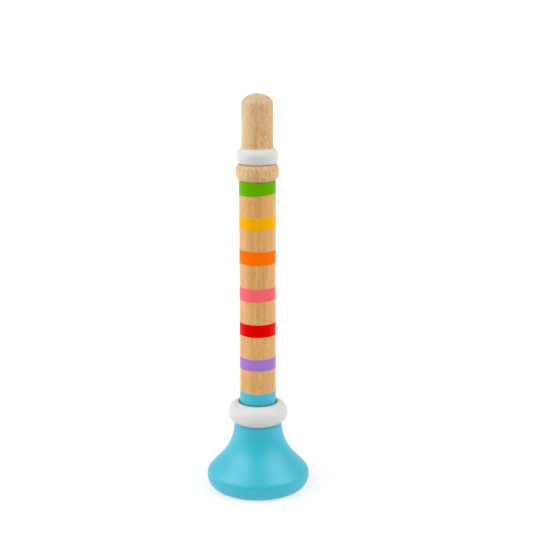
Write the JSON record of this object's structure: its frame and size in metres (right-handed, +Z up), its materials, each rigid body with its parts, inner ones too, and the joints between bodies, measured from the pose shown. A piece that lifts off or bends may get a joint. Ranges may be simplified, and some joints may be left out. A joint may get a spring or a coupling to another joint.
{
  "type": "toy horn",
  "caption": "Straight wooden toy horn standing on its flared bell, with a domed mouthpiece, turned rings, a banded barrel and a reed unit inside.",
  "frame": {"origin": "centre of the bell's rim, on the surface that the horn stands on", "axes": "+Z up along the barrel, from the bell to the mouthpiece"},
  "size_m": [0.072, 0.072, 0.278],
  "materials": {
    "pale_beech": "sanded and clear satin lacquer, fine orange-brown flecks",
    "warm_beech": "sanded and clear satin lacquer, fine grain along the barrel",
    "sky_blue_paint": "satin water-based paint on wood",
    "white_paint": "satin water-based paint on wood",
    "green_paint": "satin painted band on wood",
    "yellow_paint": "satin painted band on wood",
    "orange_paint": "satin painted band on wood",
    "pink_paint": "satin painted band on wood",
    "red_paint": "satin painted band on wood",
    "purple_paint": "satin painted band on wood",
    "reed_plastic": "moulded, satin",
    "reed_brass": "rolled strip"
  },
  "bodies": {
    "horn": {"bell": "sky_blue_paint", "bell_ring": "white_paint", "barrel": "warm_beech", "barrel_collar": "pale_beech", "mouthpiece_ring": "white_paint", "mouthpiece": "pale_beech", "reed_holder": "reed_plastic", "reed_clamp": "reed_plastic"},
    "reed": {"reed_tongue": "reed_brass"}
  },
  "joints": [
    {"name": "reed_beat", "type": "hinge", "parent": "horn", "child": "reed", "pos_m": [0, -0.0015, 0.2101], "axis": [-1, 0, 0], "range_deg": [-1, 2], "stiffness_Nm_per_rad": 0.19}
  ]
}
